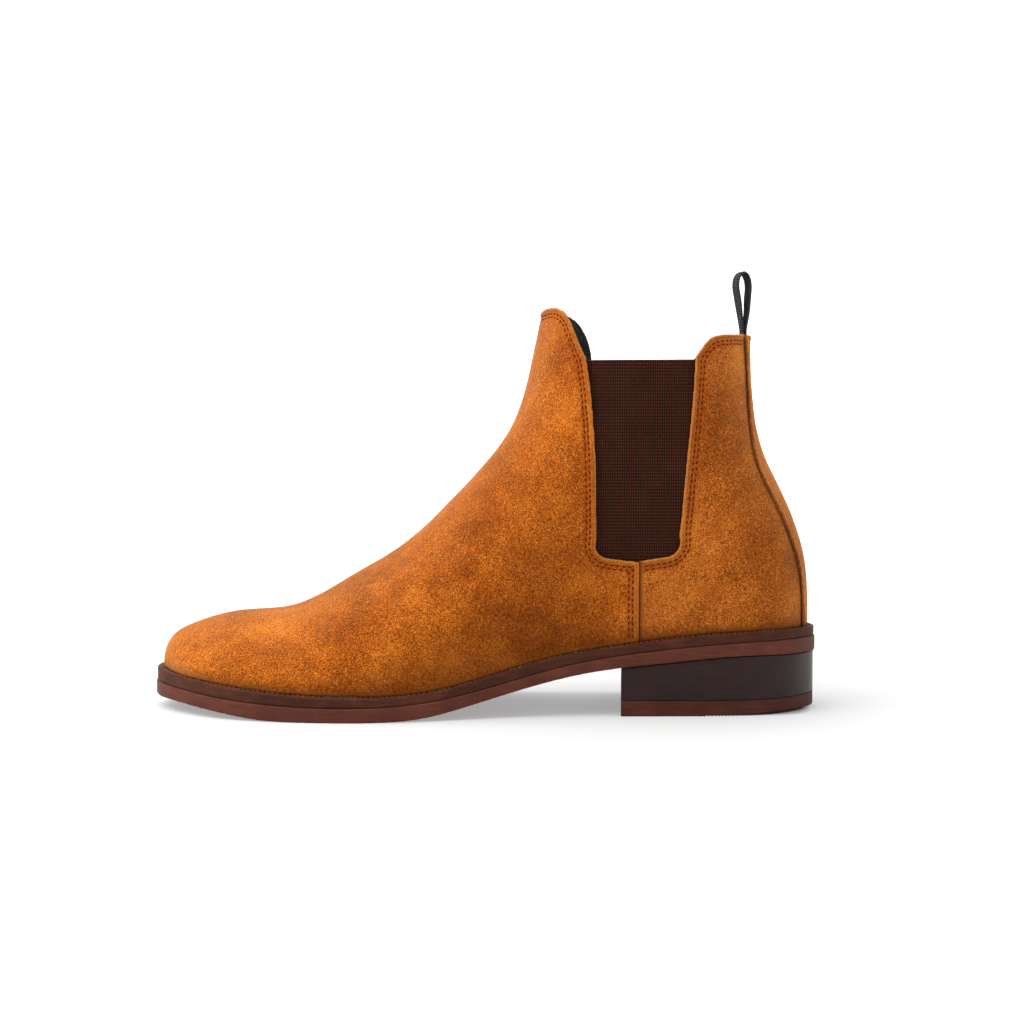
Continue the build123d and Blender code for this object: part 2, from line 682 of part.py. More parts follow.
nail_holes = nails(NAIL_R + LAYER_GAP, HOLE_RISE, NAIL_LENGTH + HOLE_RISE + HOLE_DEEPER)

with BuildPart() as heel_nails:
    add(nails(NAIL_R, -NAIL_SUNK, NAIL_LENGTH).part)
save(heel_nails, "heel_nails")

with BuildPart() as outsole:
    add(plan_prism(-OUTSOLE_PROUD))
    with BuildSketch(Plane.XZ):
        with BuildLine():
            Spline(*TREAD_REAR, tangents=[(1, 0), (1, 0)])
            Line(TREAD_REAR[-1], TREAD_FRONT[0])
            Spline(*TREAD_FRONT, tangents=[(1, 0), (1, 0.1)])
            Line(TREAD_FRONT[-1], OUTSOLE_TOP[-1])
            Spline(*reversed(OUTSOLE_TOP))
            Line(OUTSOLE_TOP[0], TREAD_REAR[0])
        make_face()
    extrude(amount=HALF_WIDE, both=True, mode=Mode.INTERSECT)
    add(nail_holes.part, mode=Mode.SUBTRACT)
save(outsole, "outsole")


def heel_region(low, high):
    """Block under the heel between two levels."""
    with BuildPart() as block:
        add(plan_prism(HEEL_SHRINK))
        with BuildSketch(Plane.XY.offset(low).rotated((0, 0, SHAFT_TURN))):
            with Locations(((BREAST_X + REAR_LIMIT) / 2, 0)):
                Rectangle(BREAST_X - REAR_LIMIT, 2 * HALF_WIDE)
        extrude(amount=high - low, mode=Mode.INTERSECT)
    return block


with BuildPart() as heel_block:
    add(heel_region(TOP_PIECE_TOP + LAYER_GAP, 40).part)
    with BuildSketch(Plane.XZ):
        with BuildLine():
            lowered = raised(TREAD_REAR, -LAYER_GAP)
            Spline(*lowered, tangents=[(1, 0), (1, 0)])
            Polyline(lowered[-1], (lowered[-1][0], 60), (lowered[0][0], 60), lowered[0])
        make_face()
    extrude(amount=HALF_WIDE, both=True, mode=Mode.SUBTRACT)
    add(nail_holes.part, mode=Mode.SUBTRACT)
save(heel_block, "heel_block")

with BuildPart() as heel_top_piece:
    add(heel_region(0, TOP_PIECE_TOP).part)
    with BuildSketch(Plane.XZ):
        with BuildLine():
            Polyline(
                (REAR_LIMIT, BOTTOM_LIMIT),
                (REAR_LIMIT, BEVEL_RISE),
                (BEVEL_FRONT, 0),
                (BEVEL_FRONT, BOTTOM_LIMIT),
                close=True,
            )
        make_face()
    extrude(amount=HALF_WIDE, both=True, mode=Mode.SUBTRACT)
save(heel_top_piece, "heel_top_piece")

# ---------------------------------------------------------------- pull tab
tab_plane = Plane((TAB_X, 0, 0), x_dir=(1, 0, 0), z_dir=(0, -1, 0)).rotated((0, 0, TAB_TURN))
tab_half = TAB_OUTER / 2


def tab_outline(half, foot_half, foot, crown):
    """Drop-shaped outline: narrow at the foot and widest near the top."""
    waist = (foot_half + half) / 2
    left = [(-foot_half, foot), (-waist, TAB_WAIST), (-half, TAB_BELLY)]
    right = [(half, TAB_BELLY), (waist, TAB_WAIST), (foot_half, foot)]
    Spline(*left, (0, crown), *right, tangents=[(0, 1), (0, -1)])
    Line((foot_half, foot), (-foot_half, foot))


with BuildPart() as pull_tab:
    with BuildSketch(tab_plane):
        with BuildLine():
            tab_outline(tab_half, TAB_THICK + TAB_SLIT / 2, TAB_FOOT, TAB_TOP)
        make_face()
        with BuildLine():
            tab_outline(tab_half - TAB_THICK, TAB_SLIT / 2, TAB_FOOT + TAB_THICK, TAB_TOP - TAB_THICK)
        make_face(mode=Mode.SUBTRACT)
    extrude(amount=TAB_WIDTH / 2, both=True)
save(pull_tab, "pull_tab")

with BuildPart() as pull_tab_tail:
    add(layer("rear", GORE_DEPTH, GORE_THICK))
    with BuildSketch(Plane.YZ.offset(-100)):
        with Locations((TAIL_Y, TAIL_TOP - TAB_TAIL / 2)):
            Rectangle(TAB_WIDTH, TAB_TAIL)
    extrude(amount=-50, mode=Mode.INTERSECT)
save(pull_tab_tail, "pull_tab_tail")
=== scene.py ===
import json
import math

import bmesh
import bpy
import numpy as np
from mathutils import Matrix, Vector, noise
from mathutils.bvhtree import BVHTree
from mathutils.kdtree import KDTree

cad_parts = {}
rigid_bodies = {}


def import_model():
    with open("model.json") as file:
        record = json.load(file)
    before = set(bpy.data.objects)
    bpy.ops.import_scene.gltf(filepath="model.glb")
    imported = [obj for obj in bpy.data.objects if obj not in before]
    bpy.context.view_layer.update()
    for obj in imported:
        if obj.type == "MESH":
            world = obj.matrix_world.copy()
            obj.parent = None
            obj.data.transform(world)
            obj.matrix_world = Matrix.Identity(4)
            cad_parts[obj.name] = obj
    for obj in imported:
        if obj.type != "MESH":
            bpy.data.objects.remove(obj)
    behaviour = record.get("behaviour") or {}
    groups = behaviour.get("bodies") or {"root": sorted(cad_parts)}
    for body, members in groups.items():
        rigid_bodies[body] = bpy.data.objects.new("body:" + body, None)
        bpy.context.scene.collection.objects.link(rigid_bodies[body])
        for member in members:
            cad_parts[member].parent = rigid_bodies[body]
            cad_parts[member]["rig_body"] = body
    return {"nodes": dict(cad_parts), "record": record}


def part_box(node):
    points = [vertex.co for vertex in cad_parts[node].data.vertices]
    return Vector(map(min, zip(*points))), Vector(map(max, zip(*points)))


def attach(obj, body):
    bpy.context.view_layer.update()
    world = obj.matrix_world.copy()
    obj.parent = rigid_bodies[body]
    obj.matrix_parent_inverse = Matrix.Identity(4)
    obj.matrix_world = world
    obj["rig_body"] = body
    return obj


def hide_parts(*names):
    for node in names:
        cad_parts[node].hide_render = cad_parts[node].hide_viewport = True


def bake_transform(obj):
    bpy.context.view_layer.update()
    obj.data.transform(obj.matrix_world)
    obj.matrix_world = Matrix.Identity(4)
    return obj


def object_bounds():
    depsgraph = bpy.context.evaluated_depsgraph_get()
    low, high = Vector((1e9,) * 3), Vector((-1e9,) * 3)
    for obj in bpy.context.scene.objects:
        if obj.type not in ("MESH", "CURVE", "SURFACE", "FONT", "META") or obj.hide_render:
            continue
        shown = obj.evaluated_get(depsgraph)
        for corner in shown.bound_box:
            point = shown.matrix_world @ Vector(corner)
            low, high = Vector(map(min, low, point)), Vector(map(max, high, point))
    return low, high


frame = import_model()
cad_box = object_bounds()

MM = 0.001
BOOT = "boot"
TAB_BODY = "pull_tab"

# Sewing, in metres: two rows along every panel edge.
ROW_OFFSETS = (2.8 * MM, 4.4 * MM)
STITCH_PITCH = 2.6 * MM
STITCH_LENGTH = 1.7 * MM
THREAD_RADIUS = 0.33 * MM
GROOVE_DEPTH = 0.42 * MM
GROOVE_WIDTH = 0.75 * MM
WELT_PITCH = 2.3 * MM


# ------------------------------------------------------------------ mesh helpers
def welded(node):
    """The CAD node's surface as one connected bmesh."""
    bm = bmesh.new()
    bm.from_mesh(frame["nodes"][node].data)
    bmesh.ops.remove_doubles(bm, verts=bm.verts, dist=2e-6)
    bm.faces.ensure_lookup_table()
    bm.edges.ensure_lookup_table()
    bm.verts.ensure_lookup_table()
    bm.normal_update()
    return bm


def smooth_regions(bm, limit=math.radians(38)):
    """Faces grouped by the sharp edges between them, largest area first."""
    seen = set()
    regions = []
    for start in bm.faces:
        if start.index in seen:
            continue
        seen.add(start.index)
        region = [start]
        for face in region:
            for edge in face.edges:
                if len(edge.link_faces) != 2 or edge.calc_face_angle(0.0) > limit:
                    continue
                for other in edge.link_faces:
                    if other.index not in seen:
                        seen.add(other.index)
                        region.append(other)
        regions.append(region)
    regions.sort(key=lambda region: -sum(face.calc_area() for face in region))
    return regions


def outward(face):
    """Whether a face of a panel looks away from the foot."""
    centre = face.calc_center_median()
    core = Vector((min(max(centre.x, -0.085), 0.09), 0.0, min(centre.z * 0.45, 0.05)))
    if centre.z > 0.09:
        core.z = centre.z
        core.x = -0.07
    return face.normal.dot(centre - core) > 0


class Skin:
    """Outer surface of a CAD panel, with its rim."""

    def __init__(self, node):
        bm = welded(node)
        regions = smooth_regions(bm)[:2]
        votes = [sum(f.calc_area() * (1 if outward(f) else -1) for f in region) for region in regions]
        faces = regions[0] if votes[0] > votes[-1] else regions[-1]
        chosen = {face.index for face in faces}
        verts = [v.co.copy() for v in bm.verts]
        self.tree = BVHTree.FromPolygons(verts, [[v.index for v in f.verts] for f in faces])
        self.loops = rim_loops(bm, chosen)
        bm.free()

    def nearest(self, point):
        place, normal, _, _ = self.tree.find_nearest(point)
        return place, normal


def rim_loops(bm, chosen):
    """Ordered rim points of a set of faces, each with its direction into the set."""
    rim = {}
    for edge in bm.edges:
        inside = [face for face in edge.link_faces if face.index in chosen]
        if len(inside) == 1 and len(edge.link_faces) > 1:
            a, b = edge.verts
            rim.setdefault(a.index, []).append((b.index, inside[0].index))
            rim.setdefault(b.index, []).append((a.index, inside[0].index))
    loops = []
    unused = set(rim)
    while unused:
        start = min(unused)
        loop = [start]
        unused.discard(start)
        current = start
        while True:
            following = [other for other, _ in rim[current] if other in unused]
            if not following:
                break
            current = following[0]
            unused.discard(current)
            loop.append(current)
        if len(loop) > 8:
            loops.append([
                (bm.verts[i].co.copy(), bm.faces[rim[i][0][1]].calc_center_median()) for i in loop
            ])
    return sorted(loops, key=len, reverse=True)


def resampled(points, step, closed=True):
    """Evenly spaced points along a line."""
    line = np.array([tuple(p) for p in points])
    if closed:
        line = np.vstack([line, line[:1]])
    lengths = np.concatenate([[0], np.cumsum(np.linalg.norm(np.diff(line, axis=0), axis=1))])
    count = max(2, int(lengths[-1] / step))
    places = np.linspace(0, lengths[-1], count + 1)
    if closed:
        places = places[:-1]
    return np.column_stack([np.interp(places, lengths, line[:, k]) for k in range(3)])


def remeshed(node, name, voxel, rounds, thicken=0.0):
    """A new piece with the node's shape, rebuilt of even small faces with soft edges."""
    bm = welded(node)
    mesh = bpy.data.meshes.new(name)
    bm.to_mesh(mesh)
    bm.free()
    piece = bpy.data.objects.new(name, mesh)
    bpy.context.scene.collection.objects.link(piece)
    remesh = piece.modifiers.new("even", "REMESH")
    remesh.mode = "VOXEL"
    remesh.voxel_size = voxel
    remesh.use_smooth_shade = True
    if rounds:
        relax = piece.modifiers.new("soft", "SMOOTH")
        relax.factor = 0.5
        relax.iterations = rounds
    if thicken:
        puff = piece.modifiers.new("full", "DISPLACE")
        puff.mid_level = 0.0
        puff.strength = thicken
    bake(piece)
    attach(piece, BOOT)
    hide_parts(node)
    return piece


def bake(piece):
    """Puts a piece's modifiers into its mesh."""
    depsgraph = bpy.context.evaluated_depsgraph_get()
    finished = bpy.data.meshes.new_from_object(piece.evaluated_get(depsgraph))
    old = piece.data
    piece.modifiers.clear()
    piece.data = finished
    finished.name = piece.name
    bpy.data.meshes.remove(old)
    for polygon in finished.polygons:
        polygon.use_smooth = True


def coordinates(piece):
    """The piece's points as an array."""
    flat = np.empty(len(piece.data.vertices) * 3)
    piece.data.vertices.foreach_get("co", flat)
    return flat.reshape(-1, 3)


def normals(piece):
    """The piece's point normals as an array."""
    flat = np.empty(len(piece.data.vertices) * 3)
    piece.data.vertices.foreach_get("normal", flat)
    return flat.reshape(-1, 3)


def set_coordinates(piece, points):
    """Moves the piece's points."""
    piece.data.vertices.foreach_set("co", points.ravel())
    piece.data.update()


def set_mask(piece, name, values):
    """Stores one number per point for the materials to read."""
    layer = piece.data.attributes.new(name, "FLOAT", "POINT")
    layer.data.foreach_set("value", values.astype(np.float32))


def tree_of(piece):
    """Search tree over a finished piece."""
    verts = [v.co.copy() for v in piece.data.vertices]
    return BVHTree.FromPolygons(verts, [tuple(p.vertices) for p in piece.data.polygons])


def distances(points, line):
    """Distance from each point to the nearest point of a line."""
    tree = KDTree(len(line))
    for i, place in enumerate(line):
        tree.insert(place, i)
    tree.balance()
    return np.array([tree.find(p)[2] for p in points])


def new_piece(name, verts, faces, body=BOOT):
    """A mesh object that rides on a body."""
    mesh = bpy.data.meshes.new(name)
    mesh.from_pydata([tuple(v) for v in verts], [], faces)
    mesh.update()
    for polygon in mesh.polygons:
        polygon.use_smooth = True
    piece = bpy.data.objects.new(name, mesh)
    bpy.context.scene.collection.objects.link(piece)
    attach(piece, body)
    return piece


# ------------------------------------------------------------------ sewing
def sewing_rows(skin, keep, offsets=ROW_OFFSETS):
    """Lines on a panel, parallel to the stretches of its rim that the test keeps."""
    rows = []
    for loop in skin.loops[:1]:
        rim = resampled([p for p, _ in loop], 0.4 * MM)
        inner_hint = KDTree(len(loop))
        for i, (p, _) in enumerate(loop):
            inner_hint.insert(p, i)
        inner_hint.balance()
        count = len(rim)
        span = 4
        kept = [keep(Vector(p)) for p in rim]
        for offset in offsets:
            line = []
            for i in range(count):
                along = Vector(rim[(i + span) % count] - rim[(i - span) % count]).normalized()
                place = Vector(rim[i])
                hint = loop[inner_hint.find(place)[1]][1]
                _, normal = skin.nearest(place + (hint - place).normalized() * 0.5 * MM)
                inward = normal.cross(along).normalized()
                if inward.dot(hint - place) < 0:
                    inward = -inward
                spot, spot_normal = skin.nearest(place + inward * offset)
                near = [(i + k) % count for k in range(-24, 25, 3)]
                far = min(((Vector(rim[k]) - spot).length for k in near if kept[k]), default=0.0)
                ok = kept[i] and far > offset * 0.86
                line.append((spot, spot_normal, ok))
            rows.append(line)
    return rows


def runs(line):
    """The kept stretches of a closed line, each as a list of (place, normal)."""
    count = len(line)
    start = next((i for i in range(count) if not line[i][2]), 0)
    pieces = []
    current = []
    for k in range(1, count + 1):
        spot, normal, ok = line[(start + k) % count]
        if ok:
            current.append((spot, normal))
        elif current:
            pieces.append(current)
            current = []
    if current:
        pieces.append(current)
    return [piece for piece in pieces if len(piece) > 12]


def thread(verts, faces, start, end, up, radius, rise):
    """One stitch: a short thread that comes out of the leather, lies on it and goes in again."""
    along = end - start
    side = along.cross(up).normalized()
    rings = 7
    sides = 8
    base = len(verts)
    for k in range(rings):
        u = k / (rings - 1)
        swell = math.sin(math.pi * min(max(u, 0.0), 1.0))
        centre = start + along * u + up * (rise * swell ** 0.6 - radius * 0.75 * (1 - swell))
        thickness = radius * (0.62 + 0.38 * swell)
        for j in range(sides):
            angle = 2 * math.pi * j / sides
            verts.append(centre + side * math.cos(angle) * thickness + up * math.sin(angle) * thickness * 0.85)
    for k in range(rings - 1):
        for j in range(sides):
            a = base + k * sides + j
            b = base + k * sides + (j + 1) % sides
            faces.append((a, b, b + sides, a + sides))
    faces.append(tuple(base + j for j in reversed(range(sides))))
    faces.append(tuple(base + (rings - 1) * sides + j for j in range(sides)))


def sew(name, lines, surface, pitch=STITCH_PITCH, length=STITCH_LENGTH, radius=THREAD_RADIUS):
    """Stitches along lines, on the finished surface."""
    verts, faces = [], []
    for line in lines:
        places = resampled([p for p, _ in line], pitch, closed=False)
        for i in range(len(places) - 1):
            middle = Vector((places[i] + places[i + 1]) / 2)
            along = Vector(places[i + 1] - places[i]).normalized()
            spot, up, _, _ = surface.find_nearest(middle)
            if spot is None:
                continue
            direction = along * length / 2
            thread(verts, faces, spot - direction, spot + direction, up, radius, radius * 0.55)
    return new_piece(name, verts, faces)


def press_grooves(piece, lines):
    """The leather dips along its rows of stitches."""
    if not lines:
        set_mask(piece, "row", np.zeros(len(piece.data.vertices)))
        return
    dots = [tuple(p) for line in lines for p, _ in line]
    points = coordinates(piece)
    gap = distances(points, dots)
    depth = GROOVE_DEPTH * np.exp(-(gap / GROOVE_WIDTH) ** 2)
    set_coordinates(piece, points - normals(piece) * depth[:, None])
    set_mask(piece, "row", np.exp(-(gap / (0.9 * MM)) ** 2))


def shade_masks(piece, trees, width):
    """Painted shade: 1 where a panel meets the edge of its neighbour, falling to 0 over a width; a second mask
    is darker low down by the welt and over the ankle.
    """
    gap = np.array([min(tree.find_nearest(Vector(p))[3] for tree in trees) for p in coordinates(piece)])
    set_mask(piece, "seam_shade", np.clip(1 - gap / width, 0, 1) ** 1.5)
    # Second mask: painted shade low down above the welt, widest at the waist, and darker nap with painted
    # shade over the ankle.
    above_welt = np.array([WELT.find_nearest(Vector(p))[3] for p in coordinates(piece)])
    points = coordinates(piece)
    waist = np.exp(-((points[:, 0] + 5 * MM) / (48 * MM)) ** 2)
    reach = (6 + 30 * waist) * MM
    low_down = np.clip(1 - above_welt / reach, 0, 1) ** 1.2
    ankle = np.exp(
        -((points[:, 0] + 30 * MM) / (38 * MM)) ** 2 - ((points[:, 2] - 72 * MM) / (42 * MM)) ** 2
    )
    set_mask(piece, "shade", np.clip(low_down + 0.3 * ankle, 0, 1))


def roll_edges(piece, skin, keep):
    """The strip between the stitching and a turned edge stands a little proud."""
    rim = [tuple(p) for loop in skin.loops[:1] for p in resampled([q for q, _ in loop], 0.5 * MM)
           if keep(Vector(p))]
    points = coordinates(piece)
    gap = distances(points, rim)
    lift = 0.5 * MM * np.exp(-((gap - 1.3 * MM) / (1.0 * MM)) ** 2)
    depth = np.array([skin.tree.find_nearest(Vector(p))[3] for p in points])
    lift *= np.clip(1 - depth / (0.7 * MM), 0, 1)
    set_coordinates(piece, points + normals(piece) * lift[:, None])


def rim_mask(piece, skins, width):
    """1 at a panel's cut edges, falling to 0 over a width."""
    rim = [tuple(p) for skin in skins for loop in skin.loops[:1]
           for p in resampled([q for q, _ in loop], 0.5 * MM)]
    gap = distances(coordinates(piece), rim)
    set_mask(piece, "rim", np.clip(1 - gap / width, 0, 1))


# ------------------------------------------------------------------ materials
class Shader:
    """A node material under construction."""

    def __init__(self, name):
        self.material = bpy.data.materials.new(name)
        self.material.use_nodes = True
        self.nodes = self.material.node_tree.nodes
        self.links = self.material.node_tree.links
        self.nodes.clear()
        self.output = self.nodes.new("ShaderNodeOutputMaterial")
        self.surface = self.nodes.new("ShaderNodeBsdfPrincipled")
        self.links.new(self.surface.outputs[0], self.output.inputs[0])
        self.place = self.nodes.new("ShaderNodeTexCoord").outputs["Object"]

    def set(self, **values):
        for key, value in values.items():
            self.surface.inputs[key.replace("_", " ")].default_value = value
        return self

    def scaled(self, x, y, z):
        """Coordinates stretched along the axes."""
        node = self.nodes.new("ShaderNodeMapping")
        node.inputs["Scale"].default_value = (x, y, z)
        self.links.new(self.place, node.inputs["Vector"])
        return node.outputs[0]

    def noise(self, scale, detail=3.0, rough=0.55, vector=None):
        node = self.nodes.new("ShaderNodeTexNoise")
        node.inputs["Scale"].default_value = scale
        node.inputs["Detail"].default_value = detail
        node.inputs["Roughness"].default_value = rough
        self.links.new(vector or self.place, node.inputs["Vector"])
        return node.outputs["Fac"]

    def wave(self, scale, direction, vector=None, distortion=0.0):
        node = self.nodes.new("ShaderNodeTexWave")
        node.bands_direction = direction
        node.inputs["Scale"].default_value = scale
        node.inputs["Distortion"].default_value = distortion
        self.links.new(vector or self.place, node.inputs["Vector"])
        return node.outputs["Fac"]

    def attribute(self, name):
        node = self.nodes.new("ShaderNodeAttribute")
        node.attribute_name = name
        return node.outputs["Fac"]

    def math(self, operation, a, b=0.0, clamp=False):
        node = self.nodes.new("ShaderNodeMath")
        node.operation = operation
        node.use_clamp = clamp
        for socket, value in zip(node.inputs, (a, b)):
            if isinstance(value, (int, float)):
                socket.default_value = value
            else:
                self.links.new(value, socket)
        return node.outputs[0]

    def ramp(self, factor, *stops):
        node = self.nodes.new("ShaderNodeValToRGB")
        ramp = node.color_ramp
        while len(ramp.elements) < len(stops):
            ramp.elements.new(0.5)
        for element, (position, colour) in zip(ramp.elements, stops):
            element.position = position
            element.color = (*colour, 1.0)
        self.links.new(factor, node.inputs[0])
        return node.outputs[0]

    def mix(self, factor, a, b, blend="MIX"):
        node = self.nodes.new("ShaderNodeMix")
        node.data_type = "RGBA"
        node.blend_type = blend
        for socket, value in ((node.inputs[0], factor), (node.inputs[6], a), (node.inputs[7], b)):
            if isinstance(value, (int, float)):
                socket.default_value = value
            elif isinstance(value, tuple):
                socket.default_value = (*value, 1.0)
            else:
                self.links.new(value, socket)
        return node.outputs[2]

    def colour(self, socket):
        self.links.new(socket, self.surface.inputs["Base Color"])
        return self

    def roughness(self, factor, low, high):
        node = self.nodes.new("ShaderNodeMapRange")
        node.inputs["To Min"].default_value = low
        node.inputs["To Max"].default_value = high
        self.links.new(factor, node.inputs["Value"])
        self.links.new(node.outputs[0], self.surface.inputs["Roughness"])
        return self

    def bump(self, *heights):
        """Bumps of (height, distance, strength), one on the other."""
        last = None
        for height, distance, strength in heights:
            node = self.nodes.new("ShaderNodeBump")
            node.inputs["Distance"].default_value = distance
            node.inputs["Strength"].default_value = strength
            self.links.new(height, node.inputs["Height"])
            if last is not None:
                self.links.new(last, node.inputs["Normal"])
            last = node.outputs[0]
        self.links.new(last, self.surface.inputs["Normal"])
        return self


def linear(red, green, blue):
    """Colour from 0-255 screen values."""
    screen = [c / 255 for c in (red, green, blue)]
    return tuple(c / 12.92 if c <= 10 / 255 else ((c + 0.055) / 1.055) ** 2.4 for c in screen)


def suede(name, dark, middle, light, edge, stitched, rim):
    """Napped suede: soft patches where the nap lies differently, a fine pile, rolled edges."""
    s = Shader(name)
    patches = s.noise(24, 2, 0.5)
    strokes = s.noise(90, 3, 0.6)
    tufts = s.noise(700, 2, 0.6)
    pile = s.noise(1900, 3, 0.8)
    tone = s.math("MULTIPLY", patches, 0.14)
    tone = s.math("ADD", tone, s.math("MULTIPLY", strokes, 0.10))
    tone = s.math("ADD", tone, s.math("MULTIPLY", tufts, 0.11))
    tone = s.math("ADD", tone, s.math("MULTIPLY", pile, 0.62))
    base = s.ramp(tone, (0.404, dark), (0.489, middle), (0.574, light))
    # Rim colour at the cut edges: lighter raised nap with a painted highlight on the vamp and quarters; a dark
    # raw edge with painted shadow on the back stay.
    base = s.mix(s.math("MULTIPLY", s.attribute("rim"), 0.6), base, rim)
    base = s.mix(s.math("MULTIPLY", s.attribute("row"), 0.4), base, stitched)
    # Dark edge colour: painted shade low down and over the ankle, the real colour of the cut edge walls, and
    # painted shade where a panel meets its neighbour.
    base = s.mix(s.math("MULTIPLY", s.attribute("shade"), 0.7), base, edge)
    base = s.mix(s.attribute("wall"), base, edge)
    base = s.mix(s.attribute("seam_shade"), base, edge)
    s.colour(base)
    s.set(Roughness=0.95, Sheen_Weight=0.42, Sheen_Roughness=0.45, Specular_IOR_Level=0.06)
    s.set(Sheen_Tint=(1.0, 0.6, 0.28, 1.0))
    s.bump((tufts, 0.3 * MM, 0.5), (pile, 0.35 * MM, 1.0))
    return s.material


def elastic():
    """Ribbed elastic: fine upright cords, with rows of lighter yarn floats on the ribs."""
    s = Shader("elastic_brown")
    cords = s.wave(305, "X")
    fluff = s.noise(900, 3, 0.6)
    cloud = s.noise(60, 3, 0.6)
    ribs = s.attribute("rib")
    floats = s.math("MULTIPLY", ribs, cords)
    shade = s.math("ADD", s.math("MULTIPLY", floats, 0.5), s.math("MULTIPLY", fluff, 0.25))
    shade = s.math("ADD", shade, s.math("MULTIPLY", cloud, 0.2))
    base = s.ramp(shade, (0.1, linear(28, 13, 8)), (0.34, linear(43, 22, 14)), (0.72, linear(88, 48, 32)))
    base = s.mix(s.attribute("rim"), base, linear(120, 62, 44))
    s.colour(base)
    s.set(Roughness=0.9, Specular_IOR_Level=0.05)
    s.bump((cords, 0.14 * MM, 0.5), (fluff, 0.15 * MM, 0.5))
    return s.material


def webbing():
    """Dark herringbone webbing."""
    s = Shader("webbing_black")
    fluff = s.noise(1300, 3, 0.6)
    strands = s.wave(1500, "DIAGONAL", distortion=2.0)
    shade = s.math("ADD", s.math("MULTIPLY", strands, 0.2), s.math("MULTIPLY", fluff, 0.35))
    # Raised twill drawn lighter: lighter yarn floats with a painted highlight.
    shade = s.math("ADD", shade, s.math("MULTIPLY", s.attribute("twill"), 0.5))
    s.colour(s.ramp(shade, (0.25, linear(3, 4, 5)), (0.52, linear(16, 18, 19)), (0.85, linear(88, 92, 92))))
    s.set(Roughness=0.8, Specular_IOR_Level=0.12)
    s.bump((strands, 0.08 * MM, 0.6), (fluff, 0.1 * MM, 0.5))
    return s.material


def lining_cloth():
    """Near-black brushed textile with lighter specks."""
    s = Shader("lining_black")
    specks = s.noise(1100, 2, 0.7)
    weave = s.wave(900, "DIAGONAL", distortion=1.0)
    shade = s.math("ADD", s.math("MULTIPLY", specks, 0.7), s.math("MULTIPLY", weave, 0.3))
    dark, middle, light = linear(20, 21, 24), linear(38, 39, 43), linear(96, 98, 104)
    s.colour(s.ramp(shade, (0.35, dark), (0.6, middle), (0.8, light)))
    s.set(Roughness=0.9, Sheen_Weight=0.3, Specular_IOR_Level=0.2)
    s.bump((weave, 0.12 * MM, 0.5), (specks, 0.12 * MM, 0.5))
    return s.material


def rubber(name, dark, middle, light, gloss=0.45, shine=0.2):
    """Moulded rubber or waxed edge: faint scuffs and a fine tooth."""
    s = Shader(name)
    cloud = s.noise(60, 4, 0.6)
    streak = s.noise(1.0, 4, 0.6, s.scaled(90, 90, 900))
    tooth = s.noise(2400, 2, 0.6)
    shade = s.math("ADD", s.math("MULTIPLY", cloud, 0.5), s.math("MULTIPLY", streak, 0.35))
    shade = s.math("ADD", shade, s.math("MULTIPLY", tooth, 0.15))
    s.colour(s.ramp(shade, (0.3, dark), (0.5, middle), (0.72, light)))
    s.roughness(cloud, gloss - 0.1, gloss + 0.15)
    s.set(Specular_IOR_Level=shine)
    s.bump((tooth, 0.06 * MM, 0.4), (streak, 0.12 * MM, 0.3))
    return s.material


def thread_material(name, dark, light):
    """Twisted waxed thread."""
    s = Shader(name)
    twist = s.wave(1700, "DIAGONAL")
    tone = s.noise(300, 2, 0.6)
    shade = s.math("ADD", s.math("MULTIPLY", twist, 0.5), s.math("MULTIPLY", tone, 0.5))
    s.colour(s.ramp(shade, (0.25, dark), (0.75, light)))
    s.set(Roughness=0.75, Specular_IOR_Level=0.08)
    s.bump((twist, 0.08 * MM, 0.6))
    return s.material


def grained(name, dark, light, scale, rough=0.8, metallic=0.0):
    """Board, cork, foam or rolled steel of the hidden parts."""
    s = Shader(name)
    grain = s.noise(scale, 5, 0.65)
    fine = s.noise(scale * 6, 3, 0.6)
    shade = s.math("ADD", s.math("MULTIPLY", grain, 0.6), s.math("MULTIPLY", fine, 0.4))
    s.colour(s.ramp(shade, (0.35, dark), (0.65, light)))
    s.roughness(grain, rough - 0.1, rough + 0.1)
    s.set(Metallic=metallic)
    s.bump((fine, 0.15 * MM, 0.5))
    return s.material


def paint(piece, material):
    """Gives a piece its material."""
    piece.data.materials.clear()
    piece.data.materials.append(material)


# ------------------------------------------------------------------ suede, elastic and their sewing
WELT = tree_of(frame["nodes"]["welt"])
VAMP = tree_of(frame["nodes"]["vamp"])
STAY = tree_of(frame["nodes"]["back_stay"])


def clear_of(*rules):
    """A test that a point is farther from each tree than its distance."""
    def test(place):
        return all(tree.find_nearest(place)[3] > gap for tree, gap in rules)
    return test


def ruffle(piece, coarse, fine, seed):
    """Uneven hide: broad soft waves and a short nap, as real relief."""
    points = coordinates(piece)
    amount = np.array([
        coarse * noise.noise(Vector(p) * 60 + Vector((seed, 0, 0)))
        + fine * noise.noise(Vector(p) * 700 + Vector((0, seed, 0)))
        for p in points
    ])
    set_coordinates(piece, points + normals(piece) * amount[:, None])


def wall_mask(piece, skin, start, width):
    """1 where the panel's thickness shows at a cut edge."""
    depth = np.array([skin.tree.find_nearest(Vector(p))[3] for p in coordinates(piece)])
    set_mask(piece, "wall", np.clip((depth - start) / width, 0, 1))


STITCHED = linear(168, 66, 14)
SUEDE = suede(
    "suede_tan", linear(90, 35, 1), linear(158, 74, 8), linear(226, 133, 44), linear(80, 33, 4),
    STITCHED, linear(214, 128, 48)
)
SUEDE_QUARTER = suede(
    "suede_tan_rear", linear(94, 41, 3), linear(160, 79, 16), linear(220, 131, 52), linear(78, 34, 6),
    STITCHED, linear(206, 126, 50)
)
